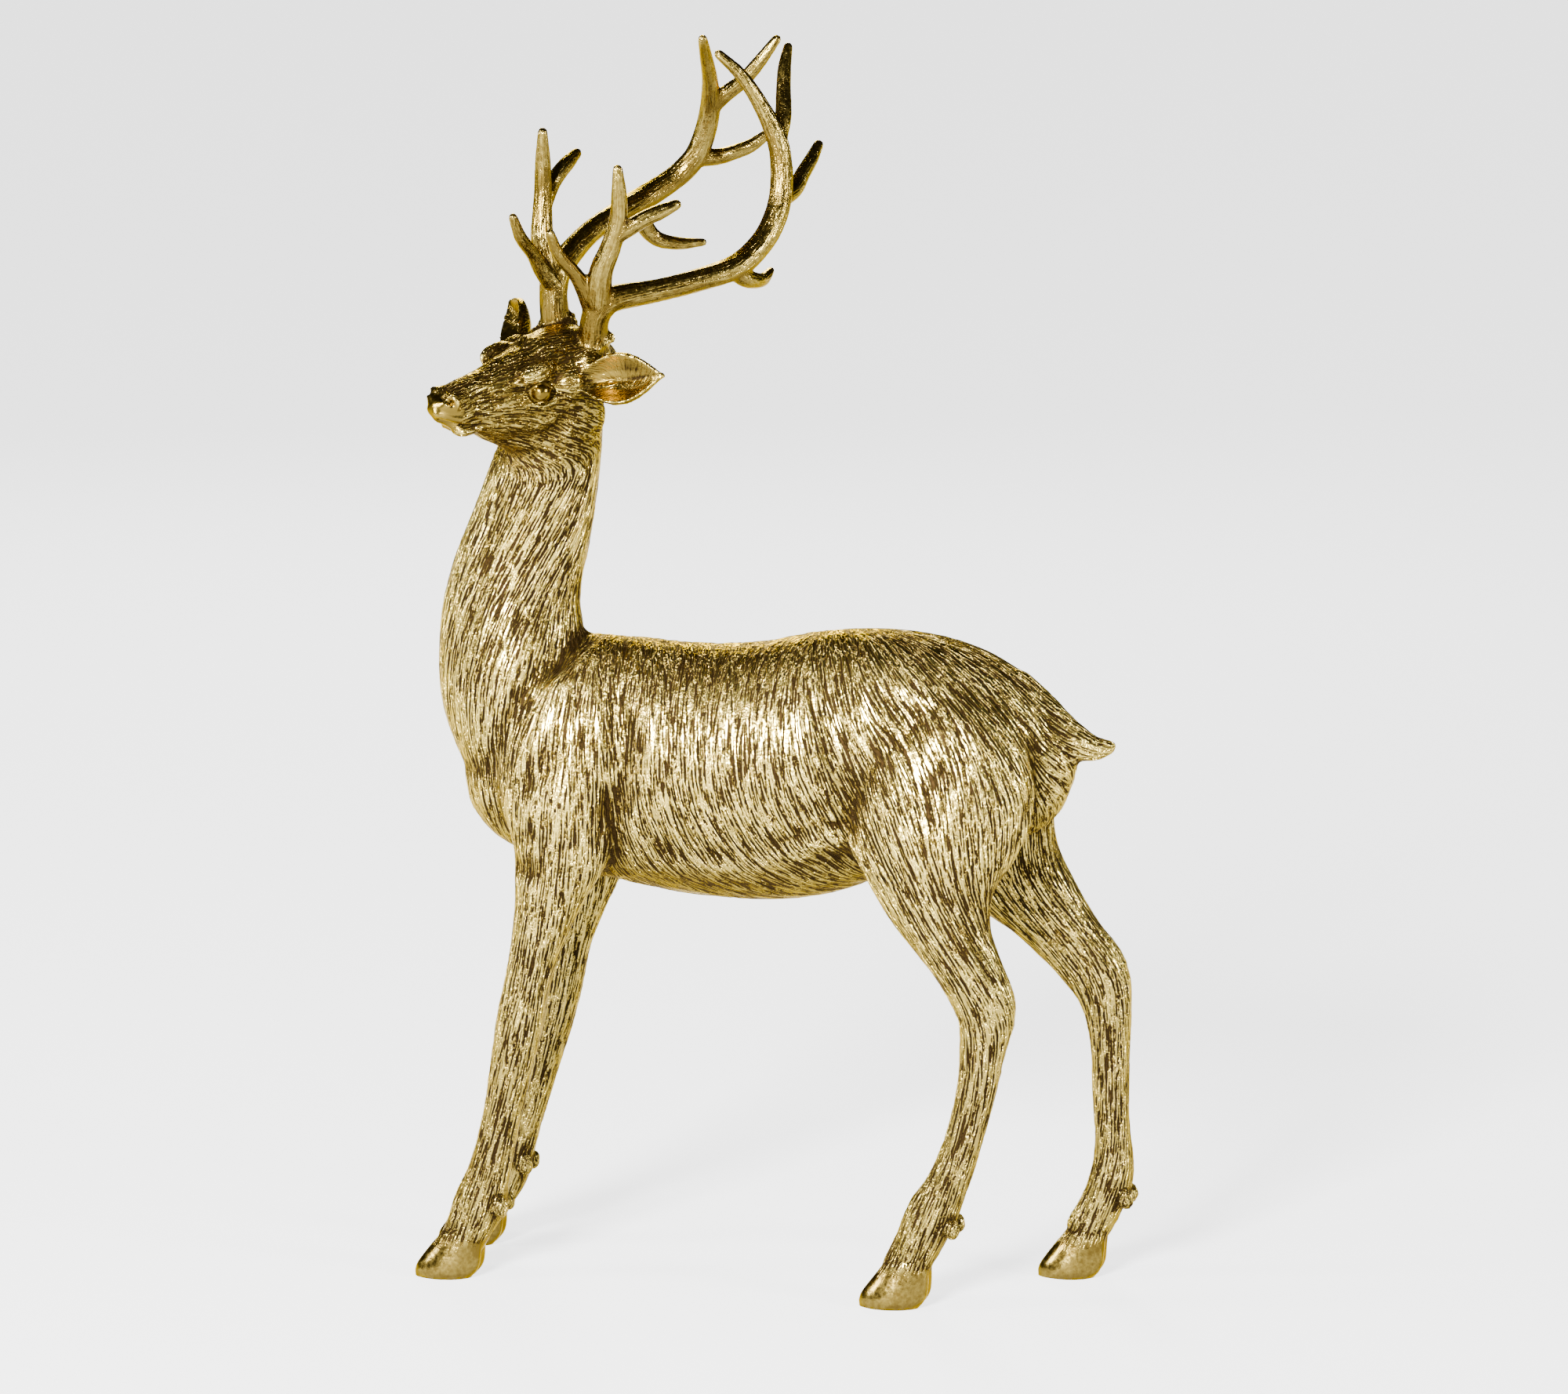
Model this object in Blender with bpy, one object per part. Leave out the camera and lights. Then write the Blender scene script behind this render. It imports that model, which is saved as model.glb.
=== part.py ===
"""A reindeer figurine cast in one piece, standing on four hooves with its head turned to its left.

Metres, +Z up. The nose points towards -X and the head is turned towards -Y. The origin is on the floor,
under the middle of the figure.
"""

import math

import bmesh
import bpy
import numpy as np
from mathutils import Matrix, Vector

# Driving sizes
HEIGHT = 0.459
SHARE = HEIGHT / 459  # the pose, the profiles and the carving below are numbered in this share of the height

HOOF_LENGTH = 0.0270
HOOF_WIDTH = 0.0200
FORE_STANCE = 0.0480  # across, between the middles of the two fore hooves
HIND_STANCE = 0.0560
EAR_LENGTH = 0.0310
EAR_WIDTH = 0.0196
EAR_THICKNESS = 0.0026
EYE_DIAMETER = 0.0084
DEWCLAW_DIAMETER = 0.0056
BEAM_DIAMETER = 0.0084  # an antler's main beam, halfway along

# How the form is fused: the grain of each pass in shares, its rounds of smoothing, and the faces left
MASS_GRAIN = 1.5
MASS_SMOOTHING = 8
DETAIL_GRAIN = 1.0
DETAIL_SMOOTHING = 2
FACES_KEPT = 9600

# Pose of the head: its middle between the antlers, and how it is turned, bowed and tilted
POLL = (-78, -3, 352)
HEAD_TURN = math.radians(47.7)
HEAD_BOW = math.radians(20.6)
HEAD_TILT = math.radians(11.1)

# Profiles: x, y, z of the middle, then half the width and half the depth
TORSO = (
    (-110, 0, 210, 13, 18),
    (-103, 0, 205, 20, 30),
    (-93, 0, 199, 25, 39.5),
    (-80, 0, 196, 27.5, 44.5),
    (-59, 0, 194, 29, 45.5),
    (-30, 0, 191, 31.5, 47),
    (0, 0, 192, 32.5, 48),
    (23, 0, 198, 31, 47),
    (47, 0, 201, 29, 44.5),
    (68, 0, 200, 26.5, 40),
    (84, 0, 196.5, 21, 32),
    (94, 0, 193, 14, 23),
)
NECK = (
    (-84, 0, 180, 19, 18),
    (-91.5, 0, 197, 24, 28.5),
    (-99.5, 0, 219, 24, 30.5),
    (-103, 0, 242, 21, 27),
    (-101, 0, 260, 18.5, 24.5),
    (-95, 0, 280, 17.5, 22.5),
    (-90, -1, 298, 17, 20.5),
    (-85, -2, 316, 17, 17.5),
)
TAIL = (
    (84, 0, 222, 9, 12),
    (97, 0, 213, 7.8, 9.8),
    (107, 0, 207.5, 6.5, 7),
    (115, 0, 204.5, 5, 5),
    (121, 0, 205.5, 3.4, 3),
)
FORELEG = (
    (-84, 16, 220, 9, 17),
    (-82, 18, 202, 12, 24),
    (-80, 20, 183, 12.5, 24),
    (-79, 21, 166, 11.5, 19.5),
    (-83, 22, 148, 10, 14),
    (-87, 22.5, 132, 9, 10.5),
    (-91, 23, 116, 8.2, 8.8),
    (-94.5, 23.5, 98, 8.4, 9),
    (-98.5, 24, 77, 7.2, 8),
    (-102.5, 24, 58, 6.6, 7.5),
    (-106.5, 24, 41, 6.8, 8.2),
    (-110, 24, 29, 7.8, 10),
    (-114.5, 24, 19, 7.8, 9),
    (-118, 24, 12, 7.5, 8.5),
)
HINDLEG = (
    (56, 12, 222, 10, 20),
    (60, 16, 207, 14.5, 31),
    (62, 19.5, 189, 16.5, 35.5),
    (62, 23, 170, 15.5, 31),
    (63.5, 25.5, 153, 12.5, 22),
    (69, 27, 138, 10, 15),
    (76, 28, 125, 8.6, 12.2),
    (81.5, 28, 112, 7.6, 11.5),
    (80.5, 28, 97, 6.4, 8.8),
    (77.5, 28, 79, 5.8, 7.4),
    (73, 28, 61, 5.8, 7.3),
    (67.5, 28, 46, 6.4, 8.0),
    (62, 28, 35, 7.6, 9.6),
    (56.5, 28, 23, 7.6, 8.8),
    (51.5, 28, 13, 7.4, 8.6),
)
# The far hind leg stands further back and straighter, so it has its own line from the stifle down
FAR_HINDLEG = (
    (56, 12, 222, 10, 20),
    (61, 16, 207, 14.5, 31),
    (65, 19.5, 189, 16.5, 34),
    (71, 23, 170, 15.5, 29),
    (80, 25.5, 154, 12.5, 21),
    (92, 27, 140, 10, 15.5),
    (102.5, 28, 127, 8.8, 13),
    (112.5, 28, 115, 7.8, 12.2),
    (116.5, 28, 101, 6.6, 9.2),
    (117.5, 28, 85, 5.9, 7.6),
    (118, 28, 67, 5.7, 7.0),
    (119, 28, 51, 6.2, 7.2),
    (118.5, 28, 39, 7.4, 8.4),
    (115, 28, 28, 7.2, 8.4),
    (109.5, 28, 18, 7.2, 8.4),
)
# The far foreleg is straighter, and its foot stands further forward
FAR_FORELEG = (
    (-84, 16, 220, 9, 17),
    (-82, 18, 202, 12, 24),
    (-79, 20, 183, 12.5, 24),
    (-77.5, 21, 166, 11.5, 19.5),
    (-81, 22, 148, 10, 14),
    (-85, 22.5, 132, 9, 10.5),
    (-89, 23, 116, 8.2, 8.8),
    (-93, 23.5, 98, 8.4, 9),
    (-98.5, 24, 77, 7.2, 8),
    (-104, 24, 58, 6.6, 7.5),
    (-109.5, 24, 41, 6.8, 8.2),
    (-114, 24, 29, 7.8, 9.6),
    (-119, 24, 19, 7.8, 8.8),
    (-123, 24, 12, 7.5, 8.5),
)

# Hooves: where the sole's middle is and how far the horn leans back for each unit that it rises
HOOVES = (
    ("near fore", -124, -1, 0.42, 1.0),
    ("far fore", -129, 1, 0.42, 1.0),
    ("near hind", 46.5, -1, 0.40, 1.03),
    ("far hind", 102, 1, 0.42, 0.98),
)
# Height of each ring above the sole, then its half length and half width as shares of the sole's
HORN = (
    (-4, 0.84, 0.84),
    (0, 0.90, 0.92),
    (2, 0.98, 1.00),
    (5, 1.00, 1.00),
    (9, 0.90, 0.94),
    (13, 0.78, 0.86),
    (17, 0.66, 0.78),
)
CLEFT_DEPTH = 0.30
CLEFT_SPREAD = 0.30  # radians
HEEL_CLEFT = 0.6  # depth of the cleft at the heel, as a share of the depth at the toe
DEWCLAWS = (
    (-101, -24, 28),
    (-104.5, 24, 32),
    (70.5, -28, 30.5),
    (125, 28, 31),
)
DEWCLAW_SPACING = 5

# The head, in its own axes: forward, across and up from the poll, then half the width and half the depth
SKULL = (
    (-9, 0, -24, 9, 8),
    (-3, 0, -18, 14.5, 13.5),
    (5, 0, -15, 18, 19),
    (14, 0, -16.5, 18, 22.5),
    (24, 0, -16.5, 16.5, 22),
    (33, 0, -13, 14, 18.5),
    (42, 0, -9.5, 11, 14.5),
    (49, 0, -6.2, 8.8, 10.4),
    (53.5, 0, -5.2, 8.3, 9.2),
    (57.5, 0, -4.6, 8, 8.2),
    (60.5, 0, -3.8, 6.6, 6),
)
# Fuller forms laid on the skull: middle, then the half sizes forward, across and up. Each is on both sides
FACE_FORMS = (
    (26.5, 13.2, -0.6, 8, 4.0, 3.8),
    (14, 13, -26, 12, 5.5, 13),
    (59.5, 5, 0, 4.4, 3.6, 3.4),
    (54, 4, -13.0, 7, 3.8, 3.2),
    (56.5, 5.4, -6.6, 6, 3.4, 3.8),
    (2, 11.5, -6, 6.4, 6, 6.4),
    (6, 15.5, -6, 5.5, 5, 6),
)
EYE = (27.5, 13.6, -8.2)

# The left ear hangs lower than the right one. Each is given by the side that it is on
EAR_ROOTS = {1: (11.2, 19, -9.9), -1: (12.2, 21, -6.1)}
EAR_TIP_WAY = (-0.52, 0.85, 0.10)
EAR_FACES = (0.80, 0.24, 0.52)
EAR_BULB = 0.75  # radius of the bulb at its root, as a share of half its width
EAR_CUP = 0.75  # how deep it is cupped, as a share of half its width there
EAR_OPENING = 0.45  # the share of that depth which is lost by the tip
EAR_BEND = 2.5  # how far the tip is bent back

# The antler, in the head's axes, on its left: middle, radius as a share of the beam's, and its droop.
# The left antler hangs lower by the droop, forward and down, and the right one is raised by as much
DROOP_WAY = np.array((0.67, 0, -0.74))
BEAM = (
    (-1, 10, -9, 1.34, 0),
    (-0.5, 12, 0, 1.30, 0.5),
    (-2.5, 13.5, 9, 1.22, 1.0),
    (-6, 15.5, 14.5, 1.26, 1.5),
    (-12, 18, 16, 1.14, 2.2),
    (-27, 24, 16.3, 1.00, 4.6),
    (-43, 28.5, 15.3, 1.00, 5.3),
    (-58, 31.5, 14.5, 1.08, 5.0),
    (-71, 30.5, 17.2, 1.04, 3.8),
    (-79, 28.5, 21.6, 1.04, 2.1),
    (-84.3, 26, 27.3, 1.00, 1.2),
    (-88.4, 23.6, 36, 0.96, 1.2),
    (-90.7, 20.8, 46, 0.90, 1.4),
    (-89.6, 16, 58.3, 0.70, 1.1),
    (-86.8, 11, 70, 0.58, 0.8),
    (-83, 5.8, 79.6, 0.42, 1.5),
)
TINES = (
    ((-3, 13, 13, 0.95, 1), (0, 13, 22, 0.76, 0), (2.3, 12.5, 29.2, 0.62, 0), (6.4, 11.5, 38, 0.56, 0),
     (7.8, 11.5, 47, 0.40, 0)),
    ((-4, 16, 17, 1.12, 1), (-6, 18.5, 28, 1.02, 0.6), (-10, 21, 36, 0.90, 0), (-14.2, 23, 46, 0.76, 0),
     (-16.8, 23.6, 55.5, 0.68, 0.4), (-18.8, 23.6, 65.5, 0.44, 1)),
    ((-12, 22, 40, 0.80, 0), (-18, 25, 43, 0.74, 1.4), (-24, 27.2, 45, 0.70, 1.8),
     (-29.5, 29.4, 45.8, 0.66, 1.8), (-35.5, 31.5, 46.6, 0.48, 1.7)),
    ((-57, 31.5, 13, 0.86, 4.8), (-58, 32.3, 7, 0.82, 2.2), (-62.2, 30.6, 1.2, 0.70, 0),
     (-68.5, 26, -2.6, 0.58, 0), (-76, 20.6, -4, 0.36, 0)),
    ((-82, 26.5, 25.5, 0.82, 1.4), (-91.3, 23.5, 23.8, 0.74, 0.5), (-97.5, 20.3, 25.2, 0.68, -1),
     (-104, 17.2, 26.6, 0.62, -1.7), (-110.6, 14.4, 29.4, 0.46, -1.6)),
    ((-90.5, 21, 44.5, 0.82, 1.2), (-96.3, 17.6, 49.6, 0.74, -0.4), (-102.4, 11.4, 55.5, 0.66, -1),
     (-107.8, 7.2, 61.4, 0.60, -0.6), (-114.2, 3.8, 67.6, 0.42, 0.6)),
)
BURR_MIDDLE = (-1, 11.5, -0.5)
BURR_SPREAD = 1.30  # radius of the ring of beads, as a share of the beam's
BURR_BEADS = 9
BURR_SIZE = 2.2

# A stroke starts and ends at this share of its depth, and it has the whole of it from a third of the way in
STROKE_END = 0.15
STROKE_FADE = 2.6
# Strokes of the tool below the jaw, seen from the side: radius, depth (a ridge if negative), then x and z
THROAT = 262  # height that they end at
BODY_STROKES = (
    (10, 3.2, ((-64, 240), (-57, 222), (-54, 205), (-55, 188), (-60, 172), (-61, 156))),
    (9, 2.3, ((-66, 242), (-80, 235), (-91, 220), (-99, 201), (-102, 184), (-101, 166))),
    (8, 1.5, ((-98, 184), (-89, 189), (-81, 198), (-76, 210))),
    (7, 1.2, ((-103, 160), (-92, 156), (-82, 157))),
    (12, 2.0, ((27, 244), (24, 226), (26, 206), (31, 186), (34, 170))),
    (7, -1.9, ((-6, 160), (8, 165), (20, 171), (31, 172), (39, 164), (43, 152))),
    (9, 1.2, ((40, 228), (52, 218), (57, 204), (56, 190))),
    (9, 1.3, ((76, 214), (67, 202), (62, 188), (62, 172))),
    (8, 1.6, ((101, 198), (98, 182), (89, 164))),
    (8, -1.1, ((-60, 156), (-40, 159), (-20, 158), (0, 162))),
)
# Strokes on the face, in the head's axes: radius, depth, then forward and up along it. They are kept within
# this much to each side, in front of this place and below this height
FACE_BOUNDS = (19, 12, 10)
SIDE_BLEND = 2.5  # how soon a stroke reaches its depth where the form turns to the side
FACE_STROKES = (
    (2.6, 1.6, ((68, -8.2), (61, -9.6), (54, -11.2), (48, -12.4))),
    (2.2, 1.8, ((64, 1.2), (62, 0.2), (61, -1.8))),
    (3.0, 1.3, ((20, -7), (24, -12.8), (30, -13), (35, -9.5))),
    (2.4, 1.1, ((21, -6), (27, -3.6), (33, -6.5))),
    (5.0, 1.4, ((40, -4), (48, -3), (55, -3.5))),
    (5.0, 1.6, ((44, -20), (34, -25), (25, -24), (18, -17))),
)


def spline(rows, steps):
    """Catmull-Rom rows through the given ones, each span cut into this many steps."""
    rows = np.array(rows, float)
    padded = np.vstack([2 * rows[0] - rows[1], rows, 2 * rows[-1] - rows[-2]])
    found = []
    for before, start, end, after in zip(padded, padded[1:], padded[2:], padded[3:]):
        for t in np.arange(steps) / steps:
            found.append(
                start
                + 0.5 * t * (end - before)
                + t**2 * (before - 2.5 * start + 2 * end - 0.5 * after)
                + 0.5 * t**3 * (after - before + 3 * (start - end))
            )
    found.append(rows[-1])
    return np.array(found)


def skin(form, rings):
    """Adds one closed shell through the rings to form, a bmesh, with its two ends drawn to their middles."""
    loops = [[form.verts.new(Vector(point) * SHARE) for point in ring] for ring in rings]
    faces = []
    for one, two in zip(loops, loops[1:]):
        for i in range(len(one)):
            j = (i + 1) % len(one)
            faces.append(form.faces.new((one[i], one[j], two[j], two[i])))
    for loop, ring in ((loops[0], rings[0]), (loops[-1], rings[-1])):
        pole = form.verts.new(Vector(np.mean(ring, axis=0)) * SHARE)
        for i in range(len(loop)):
            faces.append(form.faces.new((loop[i], loop[(i + 1) % len(loop)], pole)))
    bmesh.ops.recalc_face_normals(form, faces=faces)


def unit(vectors):
    return vectors / np.linalg.norm(vectors, axis=-1, keepdims=True)


def limb(form, rows, side, sides=24, steps=4):
    """Adds a rounded form through rows of middle, half width along side and half depth, with domed ends."""
    path = spline(rows, steps)
    along = unit(np.gradient(path[:, :3], axis=0))
    across = unit(side - along * (along @ side)[:, None])
    deep = np.cross(along, across)
    angles = np.arange(sides) * 2 * math.pi / sides
    round_ring = np.cos(angles)[:, None], np.sin(angles)[:, None]

    def ring(i, size, ahead):
        middle = path[i, :3] + ahead * min(path[i, 3:]) * along[i]
        return middle + size * (path[i, 3] * round_ring[0] * across[i] + path[i, 4] * round_ring[1] * deep[i])

    dome = [(math.cos(a), math.sin(a)) for a in (math.radians(25), math.radians(50), math.radians(72))]
    rings = [ring(0, size, -ahead) for size, ahead in reversed(dome)]
    rings += [ring(i, 1, 0) for i in range(len(path))]
    rings += [ring(-1, size, ahead) for size, ahead in dome]
    skin(form, rings)


def ball(form, middle, radii, axes=np.eye(3)):
    """Adds an ellipsoid with these half sizes along its axes, which are given as rows."""
    turn = Matrix(np.transpose(axes)).to_4x4()
    place = Matrix.Translation(Vector(middle) * SHARE) @ turn @ Matrix.Diagonal((*(Vector(radii) * SHARE), 1))
    bmesh.ops.create_icosphere(form, subdivisions=3, radius=1, matrix=place)


def head_axes():
    """Forward, left and up of the head, as rows."""
    turn, bow, tilt = HEAD_TURN, HEAD_BOW, HEAD_TILT
    forward = np.array((-math.cos(turn) * math.cos(bow), -math.sin(turn) * math.cos(bow), -math.sin(bow)))
    level = np.array((math.sin(turn), -math.cos(turn), 0))
    left = math.cos(tilt) * level - math.sin(tilt) * np.cross(forward, level)
    return np.array((forward, left, np.cross(forward, left)))


HEAD = head_axes()


def on_head(point, hand=1):
    """A point in the head's axes as a point of the figure. Hand is 1 on its left and -1 on its right."""
    return np.array(POLL) + np.array((point[0], hand * point[1], point[2])) @ HEAD


def legs(form):
    """The four legs, from inside the body down to the tops of the hooves."""
    across = np.array((0.0, 1.0, 0.0))
    for hand, profile, stance in (
        (-1, FORELEG, FORE_STANCE),
        (1, FAR_FORELEG, FORE_STANCE),
        (-1, HINDLEG, HIND_STANCE),
        (1, FAR_HINDLEG, HIND_STANCE),
    ):
        spread = hand * stance / SHARE / 2 / profile[-1][1]
        limb(form, [(x, y * spread, *rest) for x, y, *rest in profile], across)


def hooves(form):
    """Four cloven hooves. The horn runs on below the floor, where the sole is cut flat."""
    angles = np.arange(40) * 2 * math.pi / 40
    toe = np.abs(np.mod(angles, 2 * math.pi) - math.pi)
    heel = math.pi - toe
    cleft = np.exp(-((toe / CLEFT_SPREAD) ** 2)) + HEEL_CLEFT * np.exp(-((heel / CLEFT_SPREAD) ** 2))
    reach = 1 - CLEFT_DEPTH * cleft
    for name, x, hand, lean, size in HOOVES:
        stance = FORE_STANCE if name.endswith("fore") else HIND_STANCE
        long = HOOF_LENGTH / SHARE / 2 * size
        wide = HOOF_WIDTH / SHARE / 2 * size
        rings = [
            np.column_stack(
                (
                    x + lean * z + long * length * reach * np.cos(angles),
                    hand * stance / SHARE / 2 + wide * width * np.sin(angles) * reach,
                    np.full(len(angles), float(z)),
                )
            )
            for z, length, width in HORN
        ]
        skin(form, rings)


def dewclaws(form):
    """A pair of small claws behind each fetlock."""
    radius = DEWCLAW_DIAMETER / SHARE / 2
    for x, y, z in DEWCLAWS:
        for aside in (-DEWCLAW_SPACING, DEWCLAW_SPACING):
            ball(form, (x, y + aside, z), (radius, radius, 1.35 * radius))


def face(form):
    """Brows, cheeks, lips and nostrils of both sides."""
    for forward, across, up, *radii in FACE_FORMS:
        for hand in (1, -1):
            ball(form, on_head((forward, across, up), hand), radii, HEAD)


def eyes(form):
    for hand in (1, -1):
        ball(form, on_head(EYE, hand), [EYE_DIAMETER / SHARE / 2] * 3)


def ears(form):
    """Two cupped leaves, each on a bulb. A section is a crescent: its back, then its front the other way."""
    length, half_width, thick = (size / SHARE for size in (EAR_LENGTH, EAR_WIDTH / 2, EAR_THICKNESS))
    across = np.linspace(-1, 1, 11)
    for hand in (1, -1):
        sign = np.array((1, hand, 1))
        way = unit(np.array(EAR_TIP_WAY) * sign) @ HEAD
        faces = unit(np.array(EAR_FACES) * sign) @ HEAD
        faces = unit(faces - way * (faces @ way))
        wide = np.cross(way, faces)
        root = on_head(EAR_ROOTS[hand], hand)
        ball(form, root - way * EAR_BULB * half_width, (EAR_BULB * half_width,) * 3)
        rings = []
        for s in np.linspace(-0.12, 1, 14):
            leaf = max(0.10, math.sin(math.pi * min(1, (s + 0.22) / 1.22) ** 1.1)) * half_width
            cup = EAR_CUP * leaf * (1 - EAR_OPENING * max(s, 0))
            bend = EAR_BEND * max(s, 0) ** 2
            back = [(t * leaf, -cup * (1 - t * t) - bend) for t in across]
            front = [(t * leaf * 0.9, thick - cup * (1 - t * t) * 0.95 - bend) for t in across[::-1]]
            rings.append([root + way * length * s + wide * a + faces * b for a, b in back + front])
        skin(form, rings)


def antlers(form):
    """Two antlers of one beam and its tines, with a beaded burr round each foot."""
    radius = BEAM_DIAMETER / SHARE / 2
    for hand in (1, -1):
        for rows in (BEAM, *TINES):
            placed = []
            for *middle, share, droop in rows:
                middle = on_head(middle + hand * droop * DROOP_WAY, hand)
                placed.append((*middle, share * radius, share * radius))
            limb(form, placed, HEAD[1], sides=14, steps=4)
        for bead in range(BURR_BEADS):
            angle = 2 * math.pi * bead / BURR_BEADS
            out = np.array((math.cos(angle), math.sin(angle), 0)) * BURR_SPREAD * radius
            ball(form, on_head(np.array(BURR_MIDDLE) + out, hand), [BURR_SIZE] * 3)


def fused(form, name, grain, smoothing):
    """The shells of form as one mesh of even faces this large, with the joints between them smoothed."""
    mesh = bpy.data.meshes.new(name)
    form.to_mesh(mesh)
    form.free()
    body = bpy.data.objects.new(name, mesh)
    bpy.context.collection.objects.link(body)
    fuse = body.modifiers.new("Fuse", "REMESH")
    fuse.mode = "VOXEL"
    fuse.voxel_size = grain * SHARE
    smooth = body.modifiers.new("Smooth", "SMOOTH")
    smooth.factor = 0.5
    smooth.iterations = smoothing
    bpy.context.view_layer.update()
    result = bpy.data.meshes.new_from_object(body.evaluated_get(bpy.context.evaluated_depsgraph_get()))
    bpy.data.objects.remove(body)
    return result


def stroke(points, normals, planar, path, radius, depth):
    """Presses points in along their normals, within radius of path. Planar holds them seen from the side."""
    nearest = np.full(len(points), np.inf)
    place = np.zeros(len(points))
    path = spline(path, 3)
    for i, (start, end) in enumerate(zip(path, path[1:])):
        run = end - start
        t = np.clip((planar - start) @ run / (run @ run), 0, 1)
        away = np.linalg.norm(planar - start - t[:, None] * run, axis=1)
        place = np.where(away < nearest, (i + t) / (len(path) - 1), place)
        nearest = np.minimum(nearest, away)
    weight = np.clip(1 - (nearest / radius) ** 2, 0, None) ** 2
    fade = np.clip(STROKE_FADE * np.minimum(place, 1 - place) + STROKE_END, 0, 1)
    points -= normals * (weight * fade * depth)[:, None]


def carve(mesh):
    """Works the muscle lines of the body and the features of the face into the mesh."""
    count = len(mesh.vertices)
    points = np.empty(count * 3, np.float32)
    normals = np.empty(count * 3, np.float32)
    mesh.vertices.foreach_get("co", points)
    mesh.vertex_normals.foreach_get("vector", normals)
    points = points.reshape(-1, 3).astype(float) / SHARE
    normals = normals.reshape(-1, 3).astype(float)
    flank = np.clip(SIDE_BLEND * np.abs(normals[:, 1]), 0, 1)[:, None]
    below_jaw = points[:, 2] < THROAT
    for radius, depth, path in BODY_STROKES:
        stroke(points, normals * flank * below_jaw[:, None], points[:, [0, 2]], path, radius, depth)
    local = (points - np.array(POLL)) @ HEAD.T
    aside, back, top = FACE_BOUNDS
    of_head = (np.abs(local[:, 1]) < aside) & (local[:, 0] > back) & (local[:, 2] < top)
    cheek = np.clip(SIDE_BLEND * np.abs(normals @ HEAD[1]), 0, 1)
    for radius, depth, path in FACE_STROKES:
        stroke(points, normals * (cheek * of_head)[:, None], local[:, [0, 2]], path, radius, depth)
    mesh.vertices.foreach_set("co", (points * SHARE).astype(np.float32).ravel())
    soften = bmesh.new()
    soften.from_mesh(mesh)
    bmesh.ops.smooth_vert(soften, verts=soften.verts, factor=0.5)
    soften.to_mesh(mesh)
    soften.free()


def thinned(mesh, faces):
    """The mesh with about this many triangles, kept where the form bends most."""
    body = bpy.data.objects.new("thinning", mesh)
    bpy.context.collection.objects.link(body)
    thin = body.modifiers.new("Thin", "DECIMATE")
    thin.use_collapse_triangulate = True
    thin.ratio = faces / sum(len(face.vertices) - 2 for face in mesh.polygons)
    bpy.context.view_layer.update()
    result = bpy.data.meshes.new_from_object(body.evaluated_get(bpy.context.evaluated_depsgraph_get()))
    bpy.data.objects.remove(body)
    return result


def cut_soles(form):
    """Cuts everything below the floor away and closes the soles flat."""
    geometry = form.verts[:] + form.edges[:] + form.faces[:]
    bmesh.ops.bisect_plane(
        form, geom=geometry, dist=1e-6, plane_co=(0, 0, 0), plane_no=(0, 0, -1), clear_outer=True
    )
    rims = [edge for edge in form.edges if edge.is_boundary]
    soles = bmesh.ops.holes_fill(form, edges=rims, sides=0)["faces"]
    bmesh.ops.triangulate(form, faces=soles)


def gilt():
    """Cast resin under antiqued gold."""
    material = bpy.data.materials.new("antiqued gold")
    material.use_nodes = True
    shader = material.node_tree.nodes["Principled BSDF"]
    shader.inputs["Base Color"].default_value = (0.62, 0.44, 0.15, 1)
    shader.inputs["Metallic"].default_value = 0.95
    shader.inputs["Roughness"].default_value = 0.34
    return material


def reindeer():
    """The whole figure, cast as one."""
    across = np.array((0.0, 1.0, 0.0))
    masses = bmesh.new()
    limb(masses, TORSO, across, sides=36)
    limb(masses, NECK, across, sides=32)
    limb(masses, TAIL, across)
    limb(masses, [(*on_head(row[:3]), *row[3:]) for row in SKULL], HEAD[1], sides=32)
    legs(masses)
    face(masses)
    body = fused(masses, "masses", MASS_GRAIN, MASS_SMOOTHING)

    whole = bmesh.new()
    whole.from_mesh(body)
    hooves(whole)
    dewclaws(whole)
    eyes(whole)
    ears(whole)
    antlers(whole)
    body = fused(whole, "whole", DETAIL_GRAIN, DETAIL_SMOOTHING)
    carve(body)
    body = thinned(body, FACES_KEPT)

    form = bmesh.new()
    form.from_mesh(body)
    cut_soles(form)
    low = np.min([vert.co for vert in form.verts], axis=0)
    high = np.max([vert.co for vert in form.verts], axis=0)
    bmesh.ops.translate(form, verts=form.verts, vec=(-(low[0] + high[0]) / 2, -(low[1] + high[1]) / 2, 0))
    mesh = bpy.data.meshes.new("reindeer")
    form.to_mesh(mesh)
    form.free()
    mesh.materials.append(gilt())
    mesh.shade_smooth()
    bpy.context.collection.objects.link(bpy.data.objects.new("reindeer", mesh))


def main():
    for old in list(bpy.data.objects):
        bpy.data.objects.remove(old)
    reindeer()


main()
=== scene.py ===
"""A gilded reindeer figurine, dressed: the carved coat, the face, the grained antlers and the antiqued leaf,
with painted highlights and painted shade.

The numbers of the form are millimetres, as it was measured before it was centred on its feet.
"""

import itertools
import math

import bmesh
import bpy
import numpy as np
from mathutils import Matrix, Vector


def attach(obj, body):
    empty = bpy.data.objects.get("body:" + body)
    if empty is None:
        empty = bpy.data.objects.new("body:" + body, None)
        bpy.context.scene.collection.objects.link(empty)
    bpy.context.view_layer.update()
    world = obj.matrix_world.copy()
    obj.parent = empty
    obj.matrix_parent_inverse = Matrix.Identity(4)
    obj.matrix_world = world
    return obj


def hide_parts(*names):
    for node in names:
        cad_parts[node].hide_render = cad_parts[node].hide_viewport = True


MM = 0.001

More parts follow.
